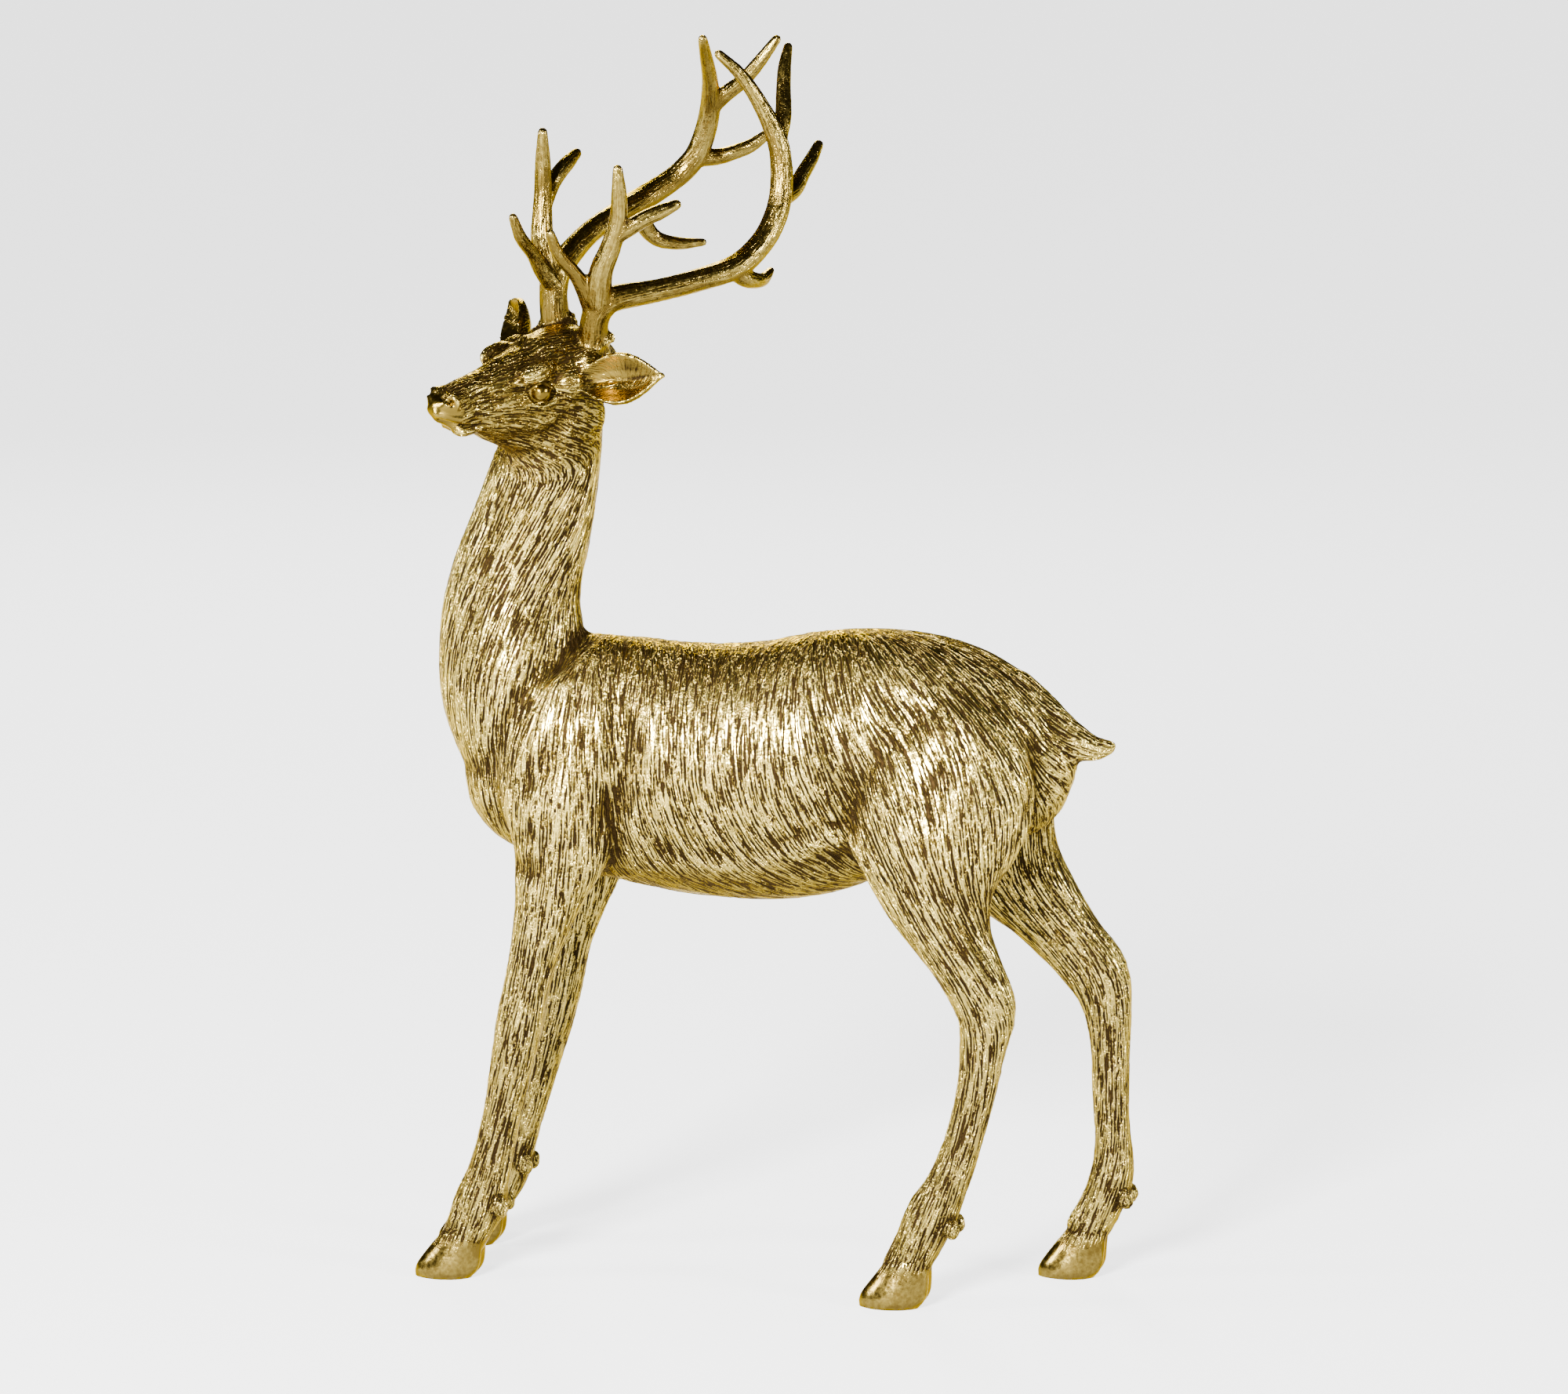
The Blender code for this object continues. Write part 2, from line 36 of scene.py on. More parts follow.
# Sizes of the parts that are added to the profiles
HOOF_LENGTH = 27.0
HOOF_WIDTH = 20.0
FORE_STANCE = 48.0
HIND_STANCE = 56.0
EAR_LENGTH = 31.0
EAR_WIDTH = 19.6
EAR_THICKNESS = 2.6
EYE_DIAMETER = 7.6
DEWCLAW_DIAMETER = 5.6
BEAM_DIAMETER = 8.4

# How the form is fused: the grain of the masses and of the whole, and the triangles that the piece keeps
MASS_GRAIN = 1.5
MASS_SMOOTHING = 8
DETAIL_GRAIN = 0.72
DETAIL_SMOOTHING = 2
TRIANGLES = 197000

# The pose of the head
POLL = np.array((-78.0, -3.0, 352.0))
HEAD_TURN = math.radians(47.7)
HEAD_BOW = math.radians(20.6)
HEAD_TILT = math.radians(11.1)

# Profiles: x, y, z of the middle, then half the width and half the depth
TORSO = (
    (-110, 0, 210, 13, 18),
    (-103, 0, 205, 20, 30),
    (-93, 0, 199, 25, 39.5),
    (-80, 0, 196, 27.5, 44.5),
    (-59, 0, 194, 29, 45.5),
    (-30, 0, 191, 31.5, 47),
    (0, 0, 192, 32.5, 48),
    (23, 0, 198, 31, 47),
    (47, 0, 201, 29, 44.5),
    (68, 0, 200, 26.5, 40),
    (84, 0, 196.5, 21, 32),
    (94, 0, 193, 14, 23),
)
NECK = (
    (-84, 0, 180, 19, 18),
    (-91.5, 0, 197, 24, 28.5),
    (-99.5, 0, 219, 24, 30.5),
    (-103, 0, 242, 21, 27),
    (-101, 0, 260, 18.5, 24.5),
    (-95, 0, 280, 17.5, 22.5),
    (-90, -1, 298, 17, 20.5),
    (-85, -2, 316, 17, 17.5),
)
TAIL = (
    (84, 0, 222, 9, 12),
    (97, 0, 213, 7.8, 9.8),
    (107, 0, 207.5, 6.5, 7),
    (115, 0, 204.5, 5, 5),
    (121, 0, 205.5, 3.4, 3),
)
NEAR_FORELEG = (
    (-84, 16, 220, 9, 17),
    (-82, 18, 202, 12, 24),
    (-80, 20, 183, 12.5, 24),
    (-79, 21, 166, 11.5, 19.5),
    (-83, 22, 148, 10, 14),
    (-87, 22.5, 132, 9, 10.5),
    (-91, 23, 116, 8.2, 8.8),
    (-94.5, 23.5, 98, 8.4, 9),
    (-98.5, 24, 77, 7.2, 8),
    (-102.5, 24, 58, 6.6, 7.5),
    (-106.5, 24, 41, 6.8, 8.2),
    (-110, 24, 29, 7.8, 10),
    (-114.5, 24, 19, 7.8, 9),
    (-118, 24, 12, 7.5, 8.5),
)
FAR_FORELEG = (
    (-84, 16, 220, 9, 17),
    (-82, 18, 202, 12, 24),
    (-79, 20, 183, 12.5, 24),
    (-77.5, 21, 166, 11.5, 19.5),
    (-81, 22, 148, 10, 14),
    (-85, 22.5, 132, 9, 10.5),
    (-89, 23, 116, 8.2, 8.8),
    (-93, 23.5, 98, 8.4, 9),
    (-98.5, 24, 77, 7.2, 8),
    (-104, 24, 58, 6.6, 7.5),
    (-109.5, 24, 41, 6.8, 8.2),
    (-114, 24, 29, 7.8, 9.6),
    (-119, 24, 19, 7.8, 8.8),
    (-123, 24, 12, 7.5, 8.5),
)
NEAR_HINDLEG = (
    (56, 12, 222, 10, 20),
    (60, 16, 207, 14.5, 31),
    (62, 19.5, 189, 16.5, 35.5),
    (62, 23, 170, 15.5, 31),
    (63.5, 25.5, 153, 12.5, 22),
    (69, 27, 138, 10, 15),
    (76, 28, 125, 8.6, 12.2),
    (81.5, 28, 112, 7.6, 11.5),
    (80.5, 28, 97, 6.4, 8.8),
    (77.5, 28, 79, 5.8, 7.4),
    (73, 28, 61, 5.8, 7.3),
    (67.5, 28, 46, 6.4, 8.0),
    (62, 28, 35, 7.6, 9.6),
    (56.5, 28, 23, 7.6, 8.8),
    (51.5, 28, 13, 7.4, 8.6),
)
FAR_HINDLEG = (
    (56, 12, 222, 10, 20),
    (61, 16, 207, 14.5, 31),
    (65, 19.5, 189, 16.5, 34),
    (71, 23, 170, 15.5, 29),
    (80, 25.5, 154, 12.5, 21),
    (92, 27, 140, 10, 15.5),
    (102.5, 28, 127, 8.8, 13),
    (112.5, 28, 115, 7.8, 12.2),
    (116.5, 28, 101, 6.6, 9.2),
    (117.5, 28, 85, 5.9, 7.6),
    (118, 28, 67, 5.7, 7.0),
    (119, 28, 51, 6.2, 7.2),
    (118.5, 28, 39, 7.4, 8.4),
    (115, 28, 28, 7.2, 8.4),
    (109.5, 28, 18, 7.2, 8.4),
)

# Hooves: where the sole's middle is, its stance, its side, how far the horn leans back, and its size
HOOVES = (
    (-124, FORE_STANCE, -1, 0.42, 1.0),
    (-129, FORE_STANCE, 1, 0.42, 1.0),
    (46.5, HIND_STANCE, -1, 0.40, 1.03),
    (102, HIND_STANCE, 1, 0.42, 0.98),
)
# Height of each ring above the sole, then its half length and half width as shares of the sole's
HORN = (
    (-4, 0.84, 0.84),
    (0, 0.90, 0.92),
    (2, 0.98, 1.00),
    (5, 1.00, 1.00),
    (9, 0.90, 0.94),
    (13, 0.78, 0.86),
    (17, 0.66, 0.78),
)
CLEFT_DEPTH = 0.30
CLEFT_SPREAD = 0.30
HEEL_CLEFT = 0.6
DEWCLAWS = (
    (-101, -24, 28),
    (-104.5, 24, 32),
    (70.5, -28, 30.5),
    (125, 28, 31),
)
DEWCLAW_SPACING = 5

# The head, in its own axes: forward, across and up from the poll
SKULL = (
    (-9, 0, -24, 9, 8),
    (-3, 0, -18, 14.5, 13.5),
    (5, 0, -15, 18, 19),
    (14, 0, -16.5, 18, 22.5),
    (24, 0, -16.5, 16.5, 22),
    (33, 0, -13, 14, 18.5),
    (42, 0, -9.5, 11, 14.5),
    (49, 0, -6.2, 8.8, 10.4),
    (53.5, 0, -5.2, 8.3, 9.2),
    (57.5, 0, -4.6, 8, 8.2),
    (60.5, 0, -3.8, 6.6, 6),
)
FACE_FORMS = (
    (26.5, 13.2, -0.6, 8, 4.0, 3.8),
    (14, 13, -26, 12, 5.5, 13),
    (59.5, 5, 0, 4.4, 3.6, 3.4),
    (54, 4, -13.0, 7, 3.8, 3.2),
    (56.5, 5.4, -6.6, 6, 3.4, 3.8),
    (2, 11.5, -6, 6.4, 6, 6.4),
    (6, 15.5, -6, 5.5, 5, 6),
)
EYE = (27.5, 13.9, -8.2)

EAR_ROOTS = {1: (11.2, 19, -9.9), -1: (12.2, 21, -6.1)}
EAR_TIP_WAY = (-0.52, 0.85, 0.10)
EAR_FACES = (0.80, 0.24, 0.52)
EAR_BULB = 0.75
EAR_CUP = 0.75
EAR_OPENING = 0.45
EAR_BEND = 2.5

# The antler, on the head's left: middle, radius as a share of the beam's, and how far this one droops
DROOP_WAY = np.array((0.67, 0, -0.74))
BEAM = (
    (-1, 10, -9, 1.34, 0),
    (-0.5, 12, 0, 1.30, 0.5),
    (-2.5, 13.5, 9, 1.22, 1.0),
    (-6, 15.5, 14.5, 1.26, 1.5),
    (-12, 18, 16, 1.14, 2.2),
    (-27, 24, 16.3, 1.00, 4.6),
    (-43, 28.5, 15.3, 1.00, 5.3),
    (-58, 31.5, 14.5, 1.08, 5.0),
    (-71, 30.5, 17.2, 1.04, 3.8),
    (-79, 28.5, 21.6, 1.04, 2.1),
    (-84.3, 26, 27.3, 1.00, 1.2),
    (-88.4, 23.6, 36, 0.96, 1.2),
    (-90.7, 20.8, 46, 0.90, 1.4),
    (-89.6, 16, 58.3, 0.70, 1.1),
    (-86.8, 11, 70, 0.58, 0.8),
    (-83, 5.8, 79.6, 0.42, 1.5),
)
TINES = (
    ((-3, 13, 13, 0.95, 1), (0, 13, 22, 0.76, 0), (2.3, 12.5, 29.2, 0.62, 0), (6.4, 11.5, 38, 0.56, 0),
     (7.8, 11.5, 47, 0.40, 0)),
    ((-4, 16, 17, 1.12, 1), (-6, 18.5, 28, 1.02, 0.6), (-10, 21, 36, 0.90, 0), (-14.2, 23, 46, 0.76, 0),
     (-16.8, 23.6, 55.5, 0.68, 0.4), (-18.8, 23.6, 65.5, 0.44, 1)),
    ((-12, 22, 40, 0.80, 0), (-18, 25, 43, 0.74, 1.4), (-24, 27.2, 45, 0.70, 1.8),
     (-29.5, 29.4, 45.8, 0.66, 1.8), (-35.5, 31.5, 46.6, 0.48, 1.7)),
    ((-57, 31.5, 13, 0.86, 4.8), (-58, 32.3, 7, 0.82, 2.2), (-62.2, 30.6, 1.2, 0.70, 0),
     (-68.5, 26, -2.6, 0.58, 0), (-76, 20.6, -4, 0.36, 0)),
    ((-82, 26.5, 25.5, 0.82, 1.4), (-91.3, 23.5, 23.8, 0.74, 0.5), (-97.5, 20.3, 25.2, 0.68, -1),
     (-104, 17.2, 26.6, 0.62, -1.7), (-110.6, 14.4, 29.4, 0.46, -1.6)),
    ((-90.5, 21, 44.5, 0.82, 1.2), (-96.3, 17.6, 49.6, 0.74, -0.4), (-102.4, 11.4, 55.5, 0.66, -1),
     (-107.8, 7.2, 61.4, 0.60, -0.6), (-114.2, 3.8, 67.6, 0.42, 0.6)),
)
BURR_MIDDLE = np.array((-1, 11.5, -0.5))
BURR_SPREAD = 1.30
BURR_BEADS = 11
GROOVES = 9
GROOVE_DEPTH = 0.045

# Strokes of the tool below the jaw, seen from the side: radius, depth (a ridge if negative), then x and z
THROAT = 262
BODY_STROKES = (
    (10, 3.2, ((-64, 240), (-57, 222), (-54, 205), (-55, 188), (-60, 172), (-61, 156))),
    (9, 2.3, ((-66, 242), (-80, 235), (-91, 220), (-99, 201), (-102, 184), (-101, 166))),
    (8, 1.5, ((-98, 184), (-89, 189), (-81, 198), (-76, 210))),
    (7, 1.2, ((-103, 160), (-92, 156), (-82, 157))),
    (12, 2.0, ((27, 244), (24, 226), (26, 206), (31, 186), (34, 170))),
    (7, -1.9, ((-6, 160), (8, 165), (20, 171), (31, 172), (39, 164), (43, 152))),
    (9, 1.2, ((40, 228), (52, 218), (57, 204), (56, 190))),
    (9, 1.3, ((76, 214), (67, 202), (62, 188), (62, 172))),
    (8, 1.6, ((101, 198), (98, 182), (89, 164))),
    (8, -1.1, ((-60, 156), (-40, 159), (-20, 158), (0, 162))),
)
# Strokes on the face, in the head's axes: radius, depth, then forward and up
FACE_STROKES = (
    (1.5, 2.2, ((70, -4.4), (66, -5.8), (62.6, -8.0), (58.8, -10.2), (54.6, -11.8), (51, -12.6))),
    (1.8, -0.8, ((69, -1.6), (65.4, -2.8), (61.6, -5.2), (57.4, -7.4))),
    (2.0, -0.8, ((67, -8.6), (63, -11.2), (59, -13.4), (55, -15.0))),
    (1.6, -1.0, ((52.6, -13.4), (50.6, -14.2))),
    (1.6, 2.6, ((64.2, 2.4), (62.6, 2.8), (61.2, 1.2), (61.0, -0.8))),
    (1.4, -0.7, ((63.0, 5.2), (60.2, 4.0), (58.9, 0.6), (59.6, -2.8))),
    (1.4, 1.7, ((31.0, -6.6), (34.0, -4.6), (37.0, -4.4))),
    (1.3, 1.2, ((24.0, -10.4), (21.0, -12.4))),
    (3.0, 0.6, ((19, -10), (22, -15.5), (28, -16.5), (34, -13))),
    (5.0, 1.4, ((40, -4), (48, -3), (55, -3.5))),
    (5.0, 1.6, ((44, -20), (34, -25), (25, -24), (18, -17))),
)
# How a stroke starts and fades along its length, and how soon it reaches its depth where the form turns
STROKE_END = 0.15
STROKE_FADE = 2.6
SIDE_BLEND = 2.5
# The strokes of the face stay within this much to each side, in front of this place and below this height
FACE_BOUNDS = (19, 12, 10)
FAR_SIDE = 0.45  # their depth on the side away from the camera
# The slant of the eye, and its lids as rings round it: half length, half height, then radius and depth
EYE_SLANT = math.radians(28)
LID_STEPS = 15
LIDS = (
    (4.6, 3.9, 1.0, 1.6),
    (6.0, 5.0, 1.5, -0.35),
)

# The lie of the coat, seen from the side: x, z, then the way that the hair runs
COAT = (
    (-40, 232, 0.05, -1), (-40, 205, 0.02, -1), (-35, 175, 0.25, -1), (-25, 155, 0.6, -0.8),
    (0, 232, 0.0, -1), (0, 205, 0.0, -1), (5, 178, 0.35, -1), (8, 156, 0.8, -0.6),
    (26, 235, 0.1, -1), (28, 205, 0.3, -1), (30, 180, 0.6, -0.8),
    (48, 238, 0.6, -0.8), (46, 212, 0.75, -0.65), (62, 200, 0.2, -1), (50, 180, 0.5, -0.9),
    (78, 225, 0.7, -0.7), (84, 200, 0.15, -1), (75, 175, -0.15, -1), (66, 152, 0.5, -0.85),
    (104, 212, 0.9, -0.45), (118, 205, 1, -0.1), (78, 125, 0.6, -0.8), (108, 130, 0.7, -0.7),
    (80, 95, -0.1, -1), (118, 95, 0.0, -1), (72, 60, -0.3, -1), (118, 60, 0.0, -1), (55, 25, -0.4, -1),
    (112, 25, -0.4, -1),
    (-62, 236, 0.2, -1), (-62, 205, 0.15, -1), (-78, 215, -0.25, -1), (-80, 185, -0.05, -1),
    (-84, 160, -0.1, -1), (-90, 120, -0.2, -1), (-98, 80, -0.25, -1), (-106, 45, -0.3, -1),
    (-116, 22, -0.35, -1),
    (-90, 232, -0.45, -0.9), (-108, 225, -0.15, -1), (-112, 200, 0.1, -1), (-84, 262, -0.65, -0.75),
    (-108, 255, -0.3, -1), (-80, 285, -0.6, -0.8), (-102, 285, -0.35, -0.95), (-80, 308, -0.5, -0.85),
    (-98, 308, -0.35, -0.95),
)
# The same on the head, in its own axes: forward, across, up, then the way
FACE_COAT = (
    (58, 0, 6, -1, 0, 0.2), (45, 0, 6, -1, 0.1, 0.2), (30, 4, 6, -1, 0.25, 0.15), (14, 6, 4, -1, 0.3, 0.3),
    (52, 8, -4, -1, 0.2, -0.1), (42, 11, -8, -1, 0.3, -0.35), (34, 14, -14, -0.9, 0.1, -0.6),
    (24, 16, -20, -0.8, 0, -0.75), (36, 12, -2, -1, 0.3, 0.1), (22, 16, -2, -1, 0.3, 0.0),
    (12, 18, -12, -0.9, 0.1, -0.3), (10, 18, -26, -0.75, 0, -0.8), (50, 4, -16, -0.9, 0, -0.4),
    (34, 4, -28, -0.9, 0, -0.5), (18, 6, -38, -0.8, 0, -0.6), (2, 14, -18, -0.8, 0, -0.7),
)
COAT_SPREAD = 15.0
FACE_SPREAD = 9.0

# The strokes of the coat: depth, half length and grain, then those of the face, its depth as a share
STROKE_DEPTH = 0.18
STROKE_REACH = 6.4
STROKE_CELL = 1.3
FACE_REACH = 2.0
FACE_CELL = 0.95
FACE_DEPTH = 0.55
STROKE_SAMPLES = 11
LATTICE = 64
SEED = 11

# Where the head starts, forward of the poll and above its throat, and how softly
FACE_FROM = -4
FACE_ABOVE = -46
FACE_BLEND = 10
# Where the hair stops: on the horn, above the hooves, round the eyes, on the muzzle and in the ears
ANTLERS_ABOVE = 335
HORN_EDGE = 0.6
HOOF_TOP = 15.5
HOOF_BLEND = 3
EYE_RIM = 0.4
EYE_BLEND = 1.2
MUZZLE_FROM = 56
MUZZLE_MIDDLE = -4
MUZZLE_SLOPE = 0.3
MUZZLE_BLEND = 3
EAR_REACH = 0.62
EAR_BARE = 0.85

# The ribs down the hollow of an ear and the crease along its middle, which is a share of the ear wide
RIB_DEPTH = 0.18
RIBS = 5
CREASE_DEPTH = 0.6
CREASE_WIDTH = 0.14
# How often the form is evened to find the hollows near by, and then those further off
NEAR_ROUNDS = 3
FAR_ROUNDS = 17

# The leaf: cells of its noises to the metre, and how each hair is sampled to both sides, this far apart
HAIR_SCALE = 1450.0
CRINKLE_SCALE = 620.0
PATCH_SCALE = 34.0
HAIR_SAMPLES = 5
HAIR_STEP = 0.6
RELIEF = 0.62
DEEP_GOLD = (0.078, 0.050, 0.007, 1)
RICH_GOLD = (0.112, 0.076, 0.013, 1)
# painted highlight: the much lighter gold on the ridges of the hair and the crinkles
HIGHLIGHT_GOLD = (0.40, 0.305, 0.070, 1)
# painted shade: the darker gold where the leaf faces up or down, also used for the darkening towards the
# bottom and on the antlers
SHADE_AND_TONE_GOLD = (0.052, 0.033, 0.007, 1)
WAX = (0.006, 0.003, 0.0006, 1)
EDGE_TINT = (0.90, 0.70, 0.32, 1)

# The studio, in metres: each lamp's name, place, size and watts, and the height that they all look at
LAMPS = (
    ("key", (-0.45, -2.2, 1.05), 0.6, 900),
    ("left", (-1.9, -0.7, 0.9), 0.45, 110),
    ("right", (1.9, -0.5, 0.8), 0.35, 100),
    ("back", (-0.7, 1.9, 1.1), 0.5, 60),
)
LAMPS_AIM = 0.22
FLOOR_SIZE = 60
FLOOR_SHADE = 0.2
FLOOR_ROUGHNESS = 0.9
FLOOR_GLOW = 2.6
SKY_GLOW = 0.07

# The camera, in metres: its angle round the figure, distance, height and the height that it looks at
CAMERA_ROUND = math.radians(13)
CAMERA_AWAY = 2.2
CAMERA_HEIGHT = 0.6
CAMERA_AIM = 0.219
CAMERA_REACH = 50
LENS = 140
SENSOR = 36
RAW_SHIFT = (6.03, -11.24)  # from the middle of the feet to the middle of the figure


def deselect():
    if bpy.context.object and bpy.context.object.mode != "OBJECT":
        bpy.ops.object.mode_set(mode="OBJECT")
    bpy.ops.object.select_all(action="DESELECT")


def unit(vectors):
    return vectors / np.maximum(np.linalg.norm(vectors, axis=-1, keepdims=True), 1e-9)


def head_axes():
    """Forward, left and up of the head, as rows."""
    turn, bow, tilt = HEAD_TURN, HEAD_BOW, HEAD_TILT
    forward = np.array((-math.cos(turn) * math.cos(bow), -math.sin(turn) * math.cos(bow), -math.sin(bow)))
    level = np.array((math.sin(turn), -math.cos(turn), 0))
    left = math.cos(tilt) * level - math.sin(tilt) * np.cross(forward, level)
    return np.array((forward, left, np.cross(forward, left)))


HEAD = head_axes()


def on_head(point, hand=1):
    return POLL + np.array((point[0], hand * point[1], point[2])) @ HEAD


def spline(rows, steps):
    """Catmull-Rom rows through the given ones, each span cut into this many steps."""
    rows = np.array(rows, float)
    padded = np.vstack([2 * rows[0] - rows[1], rows, 2 * rows[-1] - rows[-2]])
    found = []
    for before, start, end, after in zip(padded, padded[1:], padded[2:], padded[3:]):
        for t in np.arange(steps) / steps:
            found.append(
                start
                + 0.5 * t * (end - before)
                + t**2 * (before - 2.5 * start + 2 * end - 0.5 * after)
                + 0.5 * t**3 * (after - before + 3 * (start - end))
            )
    found.append(rows[-1])
    return np.array(found)


def drawn_out(rings):
    """A closed form: a disc placed as the first ring, then extruded ring by ring to the last one."""
    deselect()
    bpy.ops.mesh.primitive_circle_add(vertices=len(rings[0]), radius=1, fill_type="NGON")
    piece = bpy.context.object
    bpy.ops.object.mode_set(mode="EDIT")
    edit = bmesh.from_edit_mesh(piece.data)
    seat = edit.verts.layers.int.new("seat")
    for number, vert in enumerate(edit.verts):
        vert[seat] = number
    for step, ring in enumerate(rings):
        if step:
            bpy.ops.mesh.extrude_region_move()
            edit = bmesh.from_edit_mesh(piece.data)
            seat = edit.verts.layers.int["seat"]
        for vert in edit.verts:
            if vert.select:
                vert.co = Vector(ring[vert[seat]]) * MM
    bmesh.update_edit_mesh(piece.data)
    bpy.ops.mesh.select_all(action="SELECT")
    bpy.ops.mesh.normals_make_consistent(inside=False)
    bpy.ops.object.mode_set(mode="OBJECT")
    return piece


def limb(rows, side=(0.0, 1.0, 0.0), sides=24, steps=4, grain=None):
    """A rounded form through rows of middle, half width along side and half depth, with domed ends."""
    side = np.array(side)
    path = spline(rows, steps)
    along = unit(np.gradient(path[:, :3], axis=0))
    across = unit(side - along * (along @ side)[:, None])
    deep = np.cross(along, across)
    angles = np.arange(sides) * 2 * math.pi / sides

    def ring(i, size, ahead):
        middle = path[i, :3] + ahead * min(path[i, 3:]) * along[i]
        reach = size * (grain(angles, i) if grain else np.ones(sides))
        wide = (path[i, 3] * reach * np.cos(angles))[:, None] * across[i]
        return middle + wide + (path[i, 4] * reach * np.sin(angles))[:, None] * deep[i]

    dome = [(math.cos(a), math.sin(a)) for a in (math.radians(25), math.radians(50), math.radians(72))]
    rings = [ring(0, size, -ahead) for size, ahead in reversed(dome)]
    rings += [ring(i, 1, 0) for i in range(len(path))]
    rings += [ring(-1, size, ahead) for size, ahead in dome]
    return drawn_out(rings)


def ball(middle, radii, axes=np.eye(3), subdivisions=4):
    """An ellipsoid with these half sizes along its axes, which are given as rows."""
    deselect()
    bpy.ops.mesh.primitive_ico_sphere_add(subdivisions=subdivisions, radius=MM)
    piece = bpy.context.object
    turn = Matrix(np.transpose(axes)).to_4x4()
    piece.data.transform(Matrix.Translation(Vector(middle) * MM) @ turn @ Matrix.Diagonal((*radii, 1)))
    return piece


def fused(pieces, grain, smoothing):
    """The pieces as one mesh of even faces, with the joints between them smoothed."""
    deselect()
    for piece in pieces:
        piece.select_set(True)
    body = pieces[0]
    bpy.context.view_layer.objects.active = body
    bpy.ops.object.join()
    fuse = body.modifiers.new("Fuse", "REMESH")
    fuse.mode = "VOXEL"
    fuse.voxel_size = grain * MM
    smooth = body.modifiers.new("Smooth", "SMOOTH")
    smooth.factor = 0.5
    smooth.iterations = smoothing
    bpy.ops.object.modifier_apply(modifier="Fuse")
    bpy.ops.object.modifier_apply(modifier="Smooth")
    return body


def legs():
    """The four legs, from inside the body down to the tops of the hooves."""
    made = []
    for hand, profile, stance in (
        (-1, NEAR_FORELEG, FORE_STANCE),
        (1, FAR_FORELEG, FORE_STANCE),
        (-1, NEAR_HINDLEG, HIND_STANCE),
        (1, FAR_HINDLEG, HIND_STANCE),
    ):
        spread = hand * stance / 2 / profile[-1][1]
        made.append(limb([(x, y * spread, *rest) for x, y, *rest in profile]))
    return made


def hooves():
    """Four cloven hooves, which run on below the floor until the soles are cut."""
    angles = np.arange(48) * 2 * math.pi / 48
    toe = np.abs(angles - math.pi)
    heel = math.pi - toe
    cleft = np.exp(-((toe / CLEFT_SPREAD) ** 2)) + HEEL_CLEFT * np.exp(-((heel / CLEFT_SPREAD) ** 2))
    reach = 1 - CLEFT_DEPTH * cleft
    made = []
    for x, stance, hand, lean, size in HOOVES:
        long = HOOF_LENGTH / 2 * size
        wide = HOOF_WIDTH / 2 * size
        rings = []
        for z, length, width in spline(HORN, 3):
            out = x + lean * z + long * length * reach * np.cos(angles)
            aside = hand * stance / 2 + wide * width * np.sin(angles) * reach
            rings.append(np.column_stack((out, aside, np.full(len(angles), z))))
        made.append(drawn_out(rings))
    return made


def dewclaws():
    radius = DEWCLAW_DIAMETER / 2
    return [
        ball((x, y + aside, z), (radius, radius, 1.35 * radius), subdivisions=3)
        for x, y, z in DEWCLAWS
        for aside in (-DEWCLAW_SPACING, DEWCLAW_SPACING)
    ]


def ears():
    """Two cupped leaves, each on a bulb, with ribs down the hollow and a crease along its middle."""
    half_width = EAR_WIDTH / 2
    across = np.linspace(-1, 1, 25)
    ribs = -RIB_DEPTH * np.cos(across * RIBS * math.pi) * (1 - across**2)
    ribs = ribs - CREASE_DEPTH * np.exp(-((across / CREASE_WIDTH) ** 2))
    made = []
    for hand in (1, -1):
        sign = np.array((1, hand, 1))
        way = unit(np.array(EAR_TIP_WAY) * sign) @ HEAD
        faces = unit(np.array(EAR_FACES) * sign) @ HEAD
        faces = unit(faces - way * (faces @ way))
        wide = np.cross(way, faces)
        root = on_head(EAR_ROOTS[hand], hand)
        made.append(ball(root - way * EAR_BULB * half_width, (EAR_BULB * half_width,) * 3))
        rings = []
        for s in np.linspace(-0.12, 1, 28):
            leaf = max(0.10, math.sin(math.pi * min(1, (s + 0.22) / 1.22) ** 1.1)) * half_width
            cup = EAR_CUP * leaf * (1 - EAR_OPENING * max(s, 0))
            bend = EAR_BEND * max(s, 0) ** 2
            back = np.column_stack((across * leaf, -cup * (1 - across**2) - bend))
            hollow = EAR_THICKNESS - cup * (1 - across**2) * 0.95 - bend + ribs * min(1, leaf / 6)
            front = np.column_stack((across * leaf * 0.9, hollow))[::-1]
            section = np.vstack((back, front))
            rings.append(root + way * EAR_LENGTH * s + section[:, :1] * wide + section[:, 1:] * faces)
        made.append(drawn_out(rings))
    return made


def grain_of_horn(angles, step):
    """The grooves that run along an antler, which wander a little as they go."""
    phase = GROOVES * angles + 1.5 * math.sin(0.31 * step) + 0.8 * np.sin(2 * angles)
    return 1 + GROOVE_DEPTH * np.cos(phase)


def on_antler(rows, hand):
    """Middle and radius along a beam or a tine, each brought to its place on the head."""
    return [
        (*on_head(middle + hand * droop * DROOP_WAY, hand), share * BEAM_DIAMETER / 2)
        for *middle, share, droop in rows
    ]


def antlers():
    """Two antlers of one beam and its tines, with a beaded burr round each foot."""
    radius = BEAM_DIAMETER / 2
    made = []
    for hand in (1, -1):
        for rows in (BEAM, *TINES):
            placed = [(*row, row[3]) for row in on_antler(rows, hand)]
            made.append(limb(placed, HEAD[1], sides=54, steps=5, grain=grain_of_horn))
        for bead in range(BURR_BEADS):
            angle = 2 * math.pi * bead / BURR_BEADS
            out = np.array((math.cos(angle), math.sin(angle), 0)) * BURR_SPREAD * radius
            middle = on_head(BURR_MIDDLE + out + (0, 0, 0.7 * math.sin(2.3 * bead)), hand)
            made.append(ball(middle, [2.0 + 0.3 * math.cos(1.7 * bead)] * 3, subdivisions=3))
    return made


